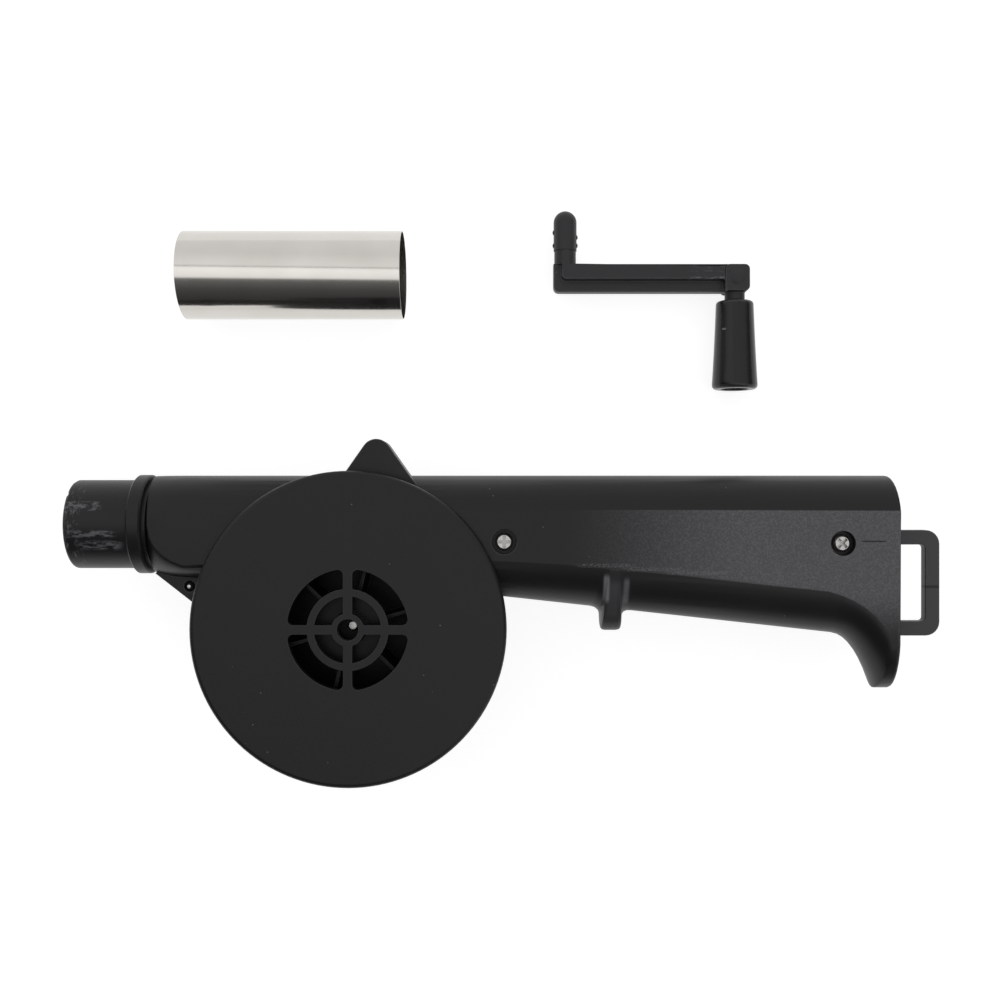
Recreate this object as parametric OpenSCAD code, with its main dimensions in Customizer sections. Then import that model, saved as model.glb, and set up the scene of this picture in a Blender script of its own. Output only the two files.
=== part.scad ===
// Hand crank blower laid flat with its crank and its blow tube taken off.
// Origin: the fan axis where the drum's back meets the table. +X runs to the tail of the handle.

/* [Drum] */
// Outer radius of the drum wall
drum_r = 41; // [39:0.2:44]
// Height of the parting plane above the drum's back
mid_z = 26; // [25:0.5:30]
// Thickness of the drum's back
floor_t = 2.2; // [1.8:0.1:3]
// Wall thickness of the mouldings
wall = 2; // [1.6:0.1:2.4]
// Rounding of the drum's back edge
back_edge_r = 1.6; // [0.8:0.1:2]

/* [Duct and handle] */
// Half thickness of the duct and the handle
half_t = 11.5; // [11:0.1:13]
// Top line above the fan axis
top_y = 40.8; // [39:0.1:42]
// Underside of the duct above the fan axis
duct_bottom_y = 12.9; // [11:0.1:15]
// Where the duct's neck ends, to the left of the fan axis
neck_x = -54; // [-60:0.5:-52]
// Radius of the neck
neck_r = 13.2; // [12.8:0.1:14]
// End face of the handle
end_x = 146.2; // [135:0.5:160]
// Underside of the handle where it leaves the drum
under_front_y = 8.3; // [6:0.1:10]
// Underside of the handle where the tail hook starts
under_rear_y = -2.2; // [-5:0.1:0]
// Lowest point of the tail hook
tail_y = -17.3; // [-22:0.1:-14]
// Width of the hook's tip
tail_w = 4.1; // [3:0.1:6]
// Length of the hook along the handle
hook_run = 15.5; // [13:0.5:18]
// Upper edge of the flat side panel
panel_top_y = 30.8; // [29:0.1:33]
// Lower edge of the panel where it leaves the drum
panel_front_y = 18.1; // [16:0.1:20]
// Lower edge of the panel where it turns down into the hook
panel_rear_y = 10.4; // [9:0.1:13]
// How far the panel's lower edge bows up between those two
panel_bow = 1; // [0.4:0.1:2]
// Lowest point of the panel at the tail
panel_tail_y = -4; // [-8:0.1:-1]
// Angle at which the rounding meets the flat panel: under 90 leaves a crease
round_stop = 80; // [70:1:88]

/* [Ear, gusset and finger stop] */
// Apex of the ear along the body
ear_x = 6.8; // [2:0.2:12]
// Top of the ear above the fan axis
ear_top_y = 50.5; // [47:0.1:54]
// Radius of the ear's tip
ear_r = 4; // [3.4:0.1:4.6]
// Slope of the ear's sides from upright
ear_slope = 35; // [25:1:40]
// Half thickness of the ear
ear_half = 8; // [6:0.2:10]
// Distance of the ear's screw from its top
ear_screw_drop = 5; // [4.6:0.1:6]
// Half thickness of the gusset under the duct
gusset_half = 4; // [3:0.2:6]
// Middle of the finger stop along the handle
stop_x = 70.2; // [64:0.2:90]
// Width of the finger stop
stop_w = 5.6; // [4:0.1:7]
// Tip of the finger stop
stop_tip_y = -1.6; // [-5:0.1:0]
// Fillets between the finger stop and the underside
stop_fillet = 2.8; // [2:0.1:3.4]
// Rounding of the finger stop's tip
stop_nose = 1.3; // [0.8:0.1:1.8]

/* [Inlet cover] */
// How far the cover stands past the drum wall
cover_lap = 0.8; // [0.4:0.1:1.5]
// Thickness of the cover
cover_t = 2.4; // [2:0.1:3.5]
// Rounding of the cover's edge
cover_edge_r = 1.4; // [0.8:0.1:1.8]
// Outer radius of the grille
grille_r = 16; // [15:0.2:20]
// Inner radius of the grille's ring
ring_in_r = 8.8; // [8:0.1:9.2]
// Outer radius of the grille's ring
ring_out_r = 10.8; // [10.4:0.1:12]
// Width of the grille's spokes
spoke_w = 2.5; // [1.6:0.1:3]
// Radius of the grille's hub
grille_hub_r = 4.35; // [4:0.05:5]
// Radius of the hole in the grille's hub
grille_hole_r = 2.8; // [2.4:0.05:3.4]
// Corner radius of the grille's outer openings
grille_corner_r = 1.4; // [0.8:0.1:1.6]

/* [Outlet] */
// Height of the outlet axis above the fan axis
nozzle_y = 27.5; // [26.5:0.1:28.5]
// Outer diameter of the spigot that the tube pushes over
spigot_d = 24.2; // [22:0.1:26]
// Length of the spigot
spigot_len = 17; // [12:0.5:30]
// Diameter of the collar behind the spigot
collar_d = 27; // [26.6:0.1:30]
// Length of the collar
collar_len = 3.8; // [3:0.1:6]
// Bore of the spigot
nozzle_bore_d = 21; // [19:0.1:21.4]
// Diameter of the stub that the two shells hold
stub_d = 19.8; // [18:0.1:20]

/* [Hanging loop] */
// Lowest edge of the loop
loop_y = -3; // [-4:0.1:0]
// Height of the loop
loop_h = 28.9; // [26:0.1:30]
// How far the loop stands out of the end face
loop_reach = 14; // [10:0.5:24]
// Width of the loop's bars
loop_bar = 4; // [3:0.1:4.4]
// Thickness of the loop
loop_t = 3.6; // [3:0.1:4.4]
// Outer corner radius of the loop
loop_corner_r = 3.8; // [2:0.1:4.4]

/* [Gears] */
// Teeth on the gear that the crank turns
drive_teeth = 45; // [42:1:46]
// Teeth on both pinions
pinion_teeth = 12; // [12:1:13]
// Teeth on the idler's large gear
idler_teeth = 36; // [34:1:37]
// Width of each gear
gear_w = 4; // [3.5:0.1:4.5]
// Play between the flanks
gear_play = 0.2; // [0.15:0.01:0.3]
// Distance of the drive axis from the fan axis, in tooth sizes
drive_step = 21.25; // [20.5:0.25:22.5]
// Gap between the drive gear and the ledge in the drum
gear_clear = 1.28; // [0.8:0.02:3]
// Thickness of the gear plate
plate_t = 2; // [1.6:0.1:2.4]

/* [Fan] */
// Gap between the impeller and the drum's inside
fan_gap = 5; // [3:0.2:8]
// Number of blades
blade_count = 6; // [4:1:8]
// Direction of the first blade
blade_turn = 16; // [0:1:59]
// Thickness of the blades
blade_t = 1; // [0.8:0.1:2]
// Radius of the plate that ties the blades together behind the grille
fan_plate_r = 10.2; // [8:0.1:12]
// Diameter of the fan shaft
fan_shaft_d = 3; // [2.6:0.1:3.4]

/* [Crank] */
// Distance from the crank's shaft to its pin
crank_throw = 49.5; // [40:0.5:60]
// Diameter of the crank's shaft
crank_shaft_d = 6.7; // [6:0.1:7]
// Length of the crank's shaft
crank_shaft_len = 15.6; // [14:0.1:15.6]
// Width of the key rib
key_w = 2.2; // [1.6:0.1:2.6]
// Length of the key along the shaft
key_len = 3.8; // [3:0.1:5]
// Depth of the arm, along its shaft
arm_h = 8.2; // [7:0.1:10]
// Half thickness of the arm's raised bar
bar_half = 4.2; // [4:0.1:4.6]
// Half thickness of the arm's flange
flange_half = 1.8; // [1.4:0.1:2.4]
// Diameter of the pin's neck
neck_pin_d = 5.8; // [5.4:0.1:6.4]
// Diameter of the pin inside the grip
pin_d = 4.8; // [4.4:0.1:5]
// Length of the grip
grip_len = 25.6; // [22:0.2:34]
// Diameter of the grip beside the arm
grip_small_d = 10.8; // [10:0.1:12]
// Diameter of the grip's end
grip_large_d = 13.1; // [12.8:0.1:15]
// Diameter of the hole in the grip's end
grip_hole_d = 7.8; // [7.6:0.1:9]

/* [Blow tube] */
// Outer diameter of the steel tube
tube_d = 25; // [24.9:0.1:27]
// Wall of the steel tube
tube_wall = 0.3; // [0.3:0.02:0.36]
// Length of the steel tube
tube_len = 62.2; // [50:0.2:120]

/* [Layout on the table] */
// Left end of the tube
tube_x = -50; // [-60:1:-40]
// Axis of the tube above the fan axis
tube_y = 98.5; // [90:0.5:120]
// Axis of the crank's shaft along the body
crank_x = 59; // [52:0.5:70]
// Shoulder of the crank above the fan axis
crank_y = 102.7; // [100:0.1:120]

/* [Fits] */
// Radial clearance of a turning fit
run_fit = 0.05; // [0.03:0.01:0.08]
// Radial clearance of a screw, a locating lip or a slot
loose_fit = 0.1; // [0.06:0.01:0.15]
// Clearance of pressed pieces
press_fit = 0.01; // [0.005:0.005:0.02]
// End play between turning faces
end_play = 0.3; // [0.2:0.05:0.4]

/* [Hidden] */
$fn = 72;

body_black = [0.11, 0.11, 0.12];
gear_white = [0.85, 0.84, 0.80];
steel = [0.75, 0.75, 0.76];
brass = [0.75, 0.62, 0.32];
cut = 1;

chamber_r = drum_r - wall;
drum_rim = 0.3;
flat_z = mid_z + half_t;
face_z = flat_z + drum_rim;
cover_r = drum_r + cover_lap;
handle_x = drum_r - 6;
rear_x = end_x - hook_run;
panel_rear_x = rear_x - 3.7;
stop_foot = stop_w / 2 + stop_fillet;
stop_taper = 0.45;
end_edge = 0.9;
inner_neck_x = neck_x + 3;
duct_r = stub_d / 2 - 0.5;
duct_top_wall = 4.6;
duct_floor_wall = 3;
duct_step = half_t - 4;
shell_step = half_t - 6;
shell_inset = [wall + 1.4, wall + 6];

pressure = 25;
gear_lift = 1;
gear_gap = 1.3;
plate_gap = 2.5;
gear_z1 = floor_t + gear_lift;
gear_z2 = gear_z1 + gear_w + gear_gap;
plate_z = gear_z2 + gear_w + plate_gap;
plate_top = plate_z + plate_t;
ledge = 2;
addendum = 0.9;
dedendum = 1.2;
// Tooth size, pitch diameter over tooth count, so that the drive gear fills the gear space
gear_module = (chamber_r - ledge - gear_clear) / (drive_step + drive_teeth / 2 + addendum);
drive_offset = drive_step * gear_module;
mesh_drive = gear_module * (drive_teeth + pinion_teeth) / 2;
mesh_fan = gear_module * (idler_teeth + pinion_teeth) / 2;
drive_angle = 90;
idler_lean = acos((mesh_fan ^ 2 + drive_offset ^ 2 - mesh_drive ^ 2) / (2 * mesh_fan * drive_offset));
idler_angle = drive_angle - idler_lean;
drive_pos = drive_offset * [cos(drive_angle), sin(drive_angle)];
idler_pos = mesh_fan * [cos(idler_angle), sin(idler_angle)];
to_idler = atan2(idler_pos[1] - drive_pos[1], idler_pos[0] - drive_pos[0]);

socket_d = crank_shaft_d + 2 * run_fit;
hub_wall = 2.7;
hub_step = 1;
socket_end = 1.6;
hub_r = crank_shaft_d / 2 + hub_wall;
upper_hub_r = hub_r - hub_step;
socket_depth = crank_shaft_len + end_play;
hub_low = 0.2;
hub_top = hub_low + socket_depth + socket_end;
key_r = bar_half + 0.2;

bush_low = gear_z2 + gear_w + end_play;
bush_rise = 1.7;
bush_top = plate_top + bush_rise;
bush_wall = 1.5;
bush_r = fan_shaft_d / 2 + bush_wall;
fan_z = bush_top + end_play;
fan_r = chamber_r - fan_gap;
cover_lip = 2.5;
blade_top = face_z - cover_lip - 1;
fan_hub_r = 4;
fan_hub_h = 9;
shaft_tip = fan_z + fan_hub_h + 1.5;

axle_r = 1.5;
boss_wall = 2;
screw_r = 1.4;
thread_len = 5.5;
head_r = 2.35;
head_h = 1.6;
head_edge = 0.6;
cross_len = 3.2;
cross_w = 0.8;
cross_h = 1;
tip_len = 1.6;
tip_r = 0.45;
head_drop = 0.4;
tip_proud = 0.6;
counterbore_r = 3.25;
counterbore_h = 2.5;
post_r = counterbore_r + 1.4;
pilot_depth = 9;
short_pilot = thread_len + 0.5;
handle_screw_at = [[drum_r + 0.1, 23], [end_x - 15.3, 22.6]];
plate_screw_at = [for (a = [45, 165, 285]) (chamber_r - 4.2) * [cos(a), sin(a)]];
ear_screw = [ear_x, ear_top_y - ear_screw_drop];
gusset_screw = [neck_x + 9.8, duct_bottom_y - 2.2];
ear_back_inset = 0.8;

arm_y = crank_y - arm_h;
grip_gap = 2.5;
grip_top_y = arm_y - grip_gap;
grip_end_y = grip_top_y - grip_len;
crank_z = grip_large_d / 2;
pin_x = crank_x + crank_throw;
grip_hole_h = 4.7;
grip_head_h = 1.8;
pin_screw_r = 1.1;
pin_screw_len = 7.5;
pin_end_y = grip_end_y + grip_hole_h - end_play;

// Points along the outline of the duct and handle, up to the foot of the end face
neck_steps = 8;
duct_steps = 5;
under_steps = 3;
hook_steps = 7;
end_foot = duct_steps + 1 + under_steps + len(stop_line()) + under_steps + hook_steps + 1;

// Points from a towards b, and along a curve pulled to c, without the last point
function seg(a, b, n) = [for (i = [0:n - 1]) a + (b - a) * i / n];
function bez(a, c, b, n) = [for (i = [0:n - 1]) let(t = i / n)
    (1 - t) ^ 2 * a + 2 * t * (1 - t) * c + t ^ 2 * b];
function arc(c, r, a0, a1, n) = [for (i = [0:n]) let(a = a0 + (a1 - a0) * i / n)
    c + r * [cos(a), sin(a)]];

// Underside of the handle on the parting plane, and the lower edge of its flat panel
function under_y(x) = under_front_y + (under_rear_y - under_front_y) * (x - handle_x) / (rear_x - handle_x);
function panel_y(x) = let(t = (x - handle_x) / (panel_rear_x - handle_x))
    panel_front_y + (panel_rear_y - panel_front_y) * t + 4 * panel_bow * t * (1 - t);

// Finger stop from its left foot, without the last point: distance from its middle, and how far down it is
// from the underside, at 0, to the tip, at 1
function stop_side() = let(h = stop_w / 2, depth = under_y(stop_x) - stop_tip_y)
    concat(
        bez([-stop_foot, 0], [-h, 0], [-h, stop_fillet / depth], 4),
        bez([-h, 1 - stop_nose / depth], [-h, 1], [stop_nose - h, 1], 3),
        [[stop_nose - h, 1]]);
function stop_line() = let(left = stop_side())
    concat(left, [for (i = [len(left) - 1:-1:1]) [-left[i][0], left[i][1]]]);

// Top line, with points above the finger stop
function top_line(right, left) = let(
        run = (left - right) / (left[0] - right[0]),
        a = right + run * (stop_x + stop_w / 4 - right[0]),
        b = right + run * (stop_x - stop_w / 4 - right[0]))
    concat(seg(right, a, 2), seg(a, b, 1), seg(b, left, 3));

// Outline of the duct and handle on the parting plane
function body_mid() = let(
        duct = [neck_x + 10, duct_bottom_y],
        front = [handle_x, under_front_y],
        rear = [rear_x, under_rear_y],
        tail = [end_x - tail_w, tail_y],
        low = [end_x, tail_y],
        corner = [end_x, top_y - end_edge],
        top = [end_x - end_edge, top_y],
        duct_top = [neck_x + 10, top_y],
        neck_low = [neck_x, nozzle_y - neck_r],
        neck_top = [neck_x, nozzle_y + neck_r])
    concat(
        bez(neck_low, [neck_x + 4, duct_bottom_y], duct, duct_steps),
        seg(duct, front, 1),
        [for (x = seg(handle_x, stop_x - stop_foot, under_steps)) [x, under_y(x)]],
        [for (p = stop_line()) let(x = stop_x + p[0]) [x, under_y(x) + (stop_tip_y - under_y(x)) * p[1]]],
        [for (x = seg(stop_x + stop_foot, rear_x, under_steps)) [x, under_y(x)]],
        bez(rear, rear + [6.5, -0.7], tail, hook_steps),
        seg(tail, low, 1),
        seg(low, corner, 1),
        bez(corner, [end_x, top_y], top, 4),
        top_line(top, duct_top),
        bez(duct_top, [neck_x + 4, top_y], neck_top, 3),
        seg(neck_top, neck_low, neck_steps));

// Outline of the flat face, with a point for each point of the one above
function body_flat() = let(
        blunt_low = [neck_x + 0.5, nozzle_y - 0.3],
        blunt_top = [neck_x + 0.5, nozzle_y + 1.9],
        duct = [neck_x + 10, duct_bottom_y + 4],
        front = [handle_x, panel_front_y],
        rear = [panel_rear_x, panel_rear_y],
        tail = [end_x - 2, panel_tail_y],
        low = [end_x, panel_tail_y - 0.4],
        corner = [end_x, panel_top_y - 0.4],
        top = [end_x - 0.4, panel_top_y],
        duct_top = [neck_x + 10, panel_top_y + 0.7])
    concat(
        bez(blunt_low, [neck_x + 1.7, nozzle_y - 8], duct, duct_steps),
        seg(duct, front, 1),
        [for (x = seg(handle_x, stop_x - stop_taper * stop_foot, under_steps)) [x, panel_y(x)]],
        [for (p = stop_line()) let(x = stop_x + stop_taper * p[0]) [x, panel_y(x)]],
        [for (x = seg(stop_x + stop_taper * stop_foot, panel_rear_x, under_steps)) [x, panel_y(x)]],
        bez(rear, [end_x - 5.2, panel_rear_y - 3.9], tail, hook_steps),
        seg(tail, low, 1),
        seg(low, corner, 1),
        bez(corner, [end_x, panel_top_y], top, 4),
        top_line(top, duct_top),
        bez(duct_top, [neck_x + 2, duct_top[1]], blunt_top, 3),
        seg(blunt_top, blunt_low, neck_steps));

// Triangles across an outline: a fan at the neck, then rungs between the underside and the top line,
// which end at the foot and the head of the end face
function rungs(p, a, b) = a + 1 >= b ? [] :
    b == end_foot + 1 || (a < end_foot && norm(p[a + 1] - p[b]) <= norm(p[a] - p[b - 1])) ?
        concat([[a, a + 1, b]], rungs(p, a + 1, b)) :
        concat([[a, b - 1, b]], rungs(p, a, b - 1));
function cap(p) = let(n = len(p))
    concat([for (k = [n - neck_steps:n - 1]) [1, k, (k + 1) % n]], rungs(p, 1, n - neck_steps));

// Half of the moulded body, rounded from the parting plane to its flat face,
// which lies above it or, for side -1, below it
module body_half(side) {
    low = body_mid();
    high = body_flat();
    n = len(low);
    levels = 8;
    rounded = [for (k = [0:levels]) let(
            a = round_stop * k / levels,
            s = (cos(a) - cos(round_stop)) / (1 - cos(round_stop)),
            z = side * half_t * sin(a) / sin(round_stop))
        for (i = [0:n - 1]) let(p = high[i] + (low[i] - high[i]) * s) [p[0], p[1], z]];
    points = concat([for (p = low) [p[0], p[1], -side * cut]], rounded);
    faces = concat(
        cap(low),
        [for (f = cap(high)) (levels + 1) * n * [1, 1, 1] + [f[2], f[1], f[0]]],
        [for (k = [0:levels]) for (i = [0:n - 1]) let(j = (i + 1) % n, a = k * n, b = a + n)
            each [[a + i, b + i, b + j], [a + i, b + j, a + j]]]);
    polyhedron(points, side > 0 ? faces : [for (f = faces) [f[2], f[1], f[0]]], convexity = 6);
}

// Space inside the handle, drawn in by d from the parting outline, clear of the drum wall and posts
module handle_space(d) {
    x1 = end_x - wall;
    y1 = top_y - d;
    low = loop_y - 0.6 + max(0, d - shell_inset[0]);
    difference() {
        polygon([[drum_r / 2, under_front_y + d + 2], [rear_x, under_rear_y + d], [x1 - 7, low], [x1, low],
            [x1, y1 - 4], [x1 - 4, y1], [drum_r / 2, y1]]);
        circle(r = drum_r);
        for (p = handle_screw_at) translate(p) circle(r = post_r);
    }
}

// Hollow of one half above the parting plane: handle, duct and the way to the fan chamber
module shell_space() {
    low = duct_bottom_y + duct_floor_wall;
    high = top_y - duct_top_wall;
    translate([0, 0, -cut]) linear_extrude(shell_step + cut) handle_space(shell_inset[0]);
    translate([0, 0, -cut]) linear_extrude(half_t - wall + cut) handle_space(shell_inset[1]);
    translate([neck_x, nozzle_y, 0]) rotate([0, 90, 0]) cylinder(r = duct_r, h = drum_r);
    translate([0, 0, -cut]) linear_extrude(duct_step + cut) polygon([
        [neck_x + 6, nozzle_y - 7], [neck_x + 10, low], [-drum_r / 2, low],
        [-drum_r / 2, high], [neck_x + 10, high], [neck_x + 6, nozzle_y + 7]]);
}

// Ear at the top of the drum, which runs out into the handle's rounding on its right
module ear_outline(inset) {
    r = ear_r - inset;
    c = [ear_x, ear_top_y - ear_r];
    left = c + r * [-cos(ear_slope), sin(ear_slope)];
    right = c + r * [cos(ear_slope), sin(ear_slope)];
    root_y = drum_r - 12;
    foot_y = top_y + 1.8;
    foot = [right[0] + (right[1] - foot_y) * tan(ear_slope), foot_y];
    run_out = foot + [4, -5.2];
    polygon(concat(
        arc(c, r, 180 - ear_slope, ear_slope, 10),
        bez(foot, foot + 2.6 * [tan(ear_slope), -1], run_out, 5),
        [run_out, [foot[0], root_y], [left[0] - (left[1] - root_y) * tan(ear_slope), root_y]]));
}

// Web between the duct's underside and the drum
module gusset_outline() {
    low = duct_bottom_y - 8.6;
    high = duct_bottom_y + 2.5;
    polygon([[neck_x + 1.9, high], [neck_x + 0.4, high - 1.2], [neck_x + 13.1, low],
        [-chamber_r + 4, low], [-chamber_r + 4, high]]);
}

// What the two shells share on one side of the parting plane, running past it until it is trimmed
module shell_outside(side) {
    body_half(side);
    mirror([0, 0, side > 0 ? 0 : 1]) {
        translate([0, 0, -1.5 * cut]) linear_extrude(ear_half + 1.5 * cut)
            ear_outline(side > 0 ? 0 : ear_back_inset);
        translate([0, 0, -2 * cut]) linear_extrude(gusset_half + 2 * cut) gusset_outline();
    }
}

// Everything past the parting plane
module past_parting(side) {
    reach = 2 * end_x;
    mirror([0, 0, side > 0 ? 0 : 1]) translate([-reach, -reach, -5 * cut])
        cube([2 * reach, 2 * reach, 5 * cut]);
}

// Seat of the nozzle's stub and rib in the neck
module nozzle_seat() {
    translate([neck_x - cut, nozzle_y, 0]) rotate([0, 90, 0])
        cylinder(d = stub_d + 2 * loose_fit, h = 5 + cut);
    translate([inner_neck_x, nozzle_y, 0]) rotate([0, 90, 0])
        cylinder(d = stub_d + 1.2 + 2 * loose_fit, h = 3);
}

// Slots in the end wall for the loop's two legs
module loop_slots() {
    for (y = [loop_y, loop_y + loop_h - loop_bar])
        translate([end_x - wall - cut, y - loose_fit, -loop_t / 2 - loose_fit])
            cube([wall + 2 * cut, loop_bar + 2 * loose_fit, loop_t + 2 * loose_fit]);
}

module front_shell() {
    color(body_black) translate([0, 0, mid_z]) difference() {
        union() {
            shell_outside(1);
            translate([0, 0, -3 * cut]) cylinder(r = drum_r, h = half_t + drum_rim + 3 * cut);
        }
        past_parting(1);
        shell_space();
        translate([0, 0, -cut]) cylinder(r = chamber_r, h = half_t + drum_rim + 2 * cut);
        for (p = handle_screw_at) translate(p) {
            translate([0, 0, -cut]) cylinder(r = screw_r + loose_fit, h = half_t + 2 * cut);
            translate([0, 0, half_t - counterbore_h]) cylinder(r = counterbore_r, h = counterbore_h + cut);
        }
        translate([ear_screw[0], ear_screw[1], -cut])
            cylinder(r = screw_r + press_fit, h = short_pilot + cut);
        translate([gusset_screw[0], gusset_screw[1], -cut])
            cylinder(r = screw_r + press_fit, h = gusset_half + 2 * cut);
        nozzle_seat();
        loop_slots();
    }
}

// Round back of the drum, with a rounded edge
module drum_back() {
    rotate_extrude() polygon(concat(
        [[0, 0]],
        arc([drum_r - back_edge_r, back_edge_r], back_edge_r, -90, 0, 6),
        [[drum_r, mid_z + 3 * cut], [0, mid_z + 3 * cut]]));
}

module back_shell() {
    color(body_black) difference() {
        union() {
            difference() {
                union() {
                    translate([0, 0, mid_z]) shell_outside(-1);
                    drum_back();
                }
                translate([0, 0, mid_z]) past_parting(-1);
                translate([0, 0, mid_z]) mirror([0, 0, 1]) shell_space();
                translate([0, 0, plate_z]) cylinder(r = chamber_r, h = mid_z);
                translate([0, 0, floor_t]) cylinder(r = chamber_r - ledge, h = mid_z);
            }
            translate(drive_pos) cylinder(r = hub_r + 2.2, h = gear_z1 - end_play);
            translate(idler_pos) cylinder(r = axle_r + boss_wall, h = gear_z1 - end_play);
            for (p = plate_screw_at) translate(p) cylinder(r = screw_r + 1.6, h = plate_z);
        }
        translate([drive_pos[0], drive_pos[1], -cut]) cylinder(r = hub_r + run_fit, h = gear_z1 + 2 * cut);
        translate([idler_pos[0], idler_pos[1], floor_t / 2]) cylinder(r = axle_r + press_fit, h = gear_z1);
        for (p = plate_screw_at) translate([p[0], p[1], plate_z - short_pilot])
            cylinder(r = screw_r + press_fit, h = short_pilot + cut);
        for (p = handle_screw_at) translate([p[0], p[1], mid_z - pilot_depth])
            cylinder(r = screw_r + press_fit, h = pilot_depth + cut);
        for (p = [ear_screw, gusset_screw]) translate([p[0], p[1], mid_z - ear_half - cut])
            cylinder(r = screw_r + loose_fit, h = ear_half + 2 * cut);
        translate([ear_screw[0], ear_screw[1], mid_z - ear_half - cut])
            cylinder(r = head_r + loose_fit, h = head_h + head_drop + cut);
        translate([0, 0, mid_z]) nozzle_seat();
        translate([0, 0, mid_z]) loop_slots();
    }
}

// Quarter opening of the grille between two radii, beside two spokes, with its outer corners rounded to c
module grille_window(r_in, r_out, c) {
    h = spoke_w / 2;
    outer = r_out - c;
    a_out = asin((h + c) / outer);
    a_in = asin(h / r_in);
    polygon(concat(
        arc([0, 0], r_out, a_out, 90 - a_out, 12),
        c > 0 ? arc(outer * [sin(a_out), cos(a_out)], c, 90 - a_out, 180, 5) : [],
        arc([0, 0], r_in, 90 - a_in, a_in, 8),
        c > 0 ? arc(outer * [cos(a_out), sin(a_out)], c, 270, 360 + a_out, 5) : []));
}

module inlet_cover() {
    lip_r = chamber_r - loose_fit;
    color(body_black) difference() {
        translate([0, 0, face_z]) rotate_extrude() polygon(concat(
            [[0, 0], [lip_r - 1.7, 0], [lip_r - 1.7, -cover_lip], [lip_r, -cover_lip]],
            [[lip_r, 0], [cover_r, 0]],
            arc([cover_r - cover_edge_r, cover_t - cover_edge_r], cover_edge_r, 0, 90, 8),
            [[0, cover_t]]));
        translate([0, 0, face_z - cut]) linear_extrude(cover_t + 2 * cut) {
            for (q = [0:3]) rotate(90 * q) {
                grille_window(ring_out_r, grille_r, grille_corner_r);
                grille_window(grille_hub_r, ring_in_r, 0);
            }
            circle(r = grille_hole_r);
        }
    }
}

module outlet_nozzle() {
    tip = neck_x - 1 - collar_len - spigot_len;
    shoulder = tip + spigot_len;
    r = spigot_d / 2;
    bore = nozzle_bore_d / 2;
    stub = stub_d / 2;
    throat = stub - 1.5;
    color(body_black) translate([0, nozzle_y, mid_z]) rotate([90, 0, 90]) rotate_extrude()
        polygon([[bore, tip], [r - 0.5, tip], [r, tip + 0.5], [r, shoulder],
            [collar_d / 2 - 0.5, shoulder], [collar_d / 2, shoulder + 0.5],
            [collar_d / 2, shoulder + collar_len - 0.4], [collar_d / 2 - 0.4, shoulder + collar_len],
            [r - 0.2, shoulder + collar_len], [r - 0.2, neck_x], [stub, neck_x],
            [stub, inner_neck_x + loose_fit], [stub + 0.6, inner_neck_x + loose_fit],
            [stub + 0.6, inner_neck_x + 2], [throat, inner_neck_x + 2],
            [throat, neck_x - 1], [bore, neck_x - 1 - (bore - throat)]]);
}

module hanging_loop() {
    x0 = end_x - wall - end_play - loop_bar;
    x1 = end_x + loop_reach;
    y1 = loop_y + loop_h;
    r = loop_corner_r;
    color(body_black) translate([0, 0, mid_z - loop_t / 2]) linear_extrude(loop_t) difference() {
        polygon(concat([[x0, loop_y]], arc([x1 - r, loop_y + r], r, -90, 0, 6),
            arc([x1 - r, y1 - r], r, 0, 90, 6), [[x0, y1]]));
        polygon(concat([[x0 + loop_bar, loop_y + loop_bar]],
            arc([x1 - loop_bar - 1, loop_y + loop_bar + 1], 1, -90, 0, 4),
            arc([x1 - loop_bar - 1, y1 - loop_bar - 1], 1, 0, 90, 4), [[x0 + loop_bar, y1 - loop_bar]]));
    }
}

module cross_recess() {
    for (a = [0, 90]) rotate(a) translate([-cross_len / 2, -cross_w / 2, -cross_h])
        cube([cross_len, cross_w, cross_h + cut]);
}

// Pan head screw pointing down, with its seat at the origin, a cross recess and a tapered tip
module screw(length) {
    difference() {
        rotate_extrude() polygon([[0, -length], [tip_r, -length], [screw_r, tip_len - length], [screw_r, 0],
            [head_r, 0], [head_r, head_h - head_edge], [head_r - head_edge, head_h], [0, head_h]]);
        translate([0, 0, head_h]) cross_recess();
    }
}

module handle_screws() {
    seat = flat_z - counterbore_h;
    turn = [0, 45];
    color(steel) for (i = [0, 1]) translate([handle_screw_at[i][0], handle_screw_at[i][1], seat])
        rotate(turn[i]) screw(seat - mid_z + pilot_depth - 0.5);
}

module case_screws() {
    color(steel) {
        translate([ear_screw[0], ear_screw[1], mid_z - ear_half + head_h + head_drop]) mirror([0, 0, 1])
            screw(ear_half - head_h - head_drop + thread_len);
        translate([gusset_screw[0], gusset_screw[1], mid_z - gusset_half]) mirror([0, 0, 1])
            screw(2 * gusset_half + tip_proud);
    }
}

module gear_plate() {
    color(body_black) translate([0, 0, plate_z]) difference() {
        cylinder(r = chamber_r - loose_fit, h = plate_t);
        translate([0, 0, -cut]) linear_extrude(plate_t + 2 * cut) {
            translate(drive_pos) circle(r = upper_hub_r + run_fit);
            translate(idler_pos) circle(r = axle_r + press_fit);
            circle(r = bush_r + press_fit);
            for (p = plate_screw_at) translate(p) circle(r = screw_r + loose_fit);
        }
    }
}

module plate_screws() {
    color(steel) for (p = plate_screw_at) translate([p[0], p[1], plate_top]) screw(plate_t + thread_len);
}

module idler_axle() {
    color(steel) translate([idler_pos[0], idler_pos[1], floor_t / 2])
        cylinder(r = axle_r, h = plate_top - floor_t / 2);
}

module fan_bush() {
    flange_r = bush_r + 1.2;
    color(brass) difference() {
        rotate_extrude() polygon([[0, bush_low], [bush_r, bush_low], [bush_r, plate_top],
            [flange_r, plate_top], [flange_r, plate_top + 0.8], [bush_r, plate_top + 0.8],
            [bush_r, bush_top], [0, bush_top]]);
        translate([0, 0, bush_low - cut]) cylinder(d = fan_shaft_d + 2 * run_fit, h = bush_top);
    }
}

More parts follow.
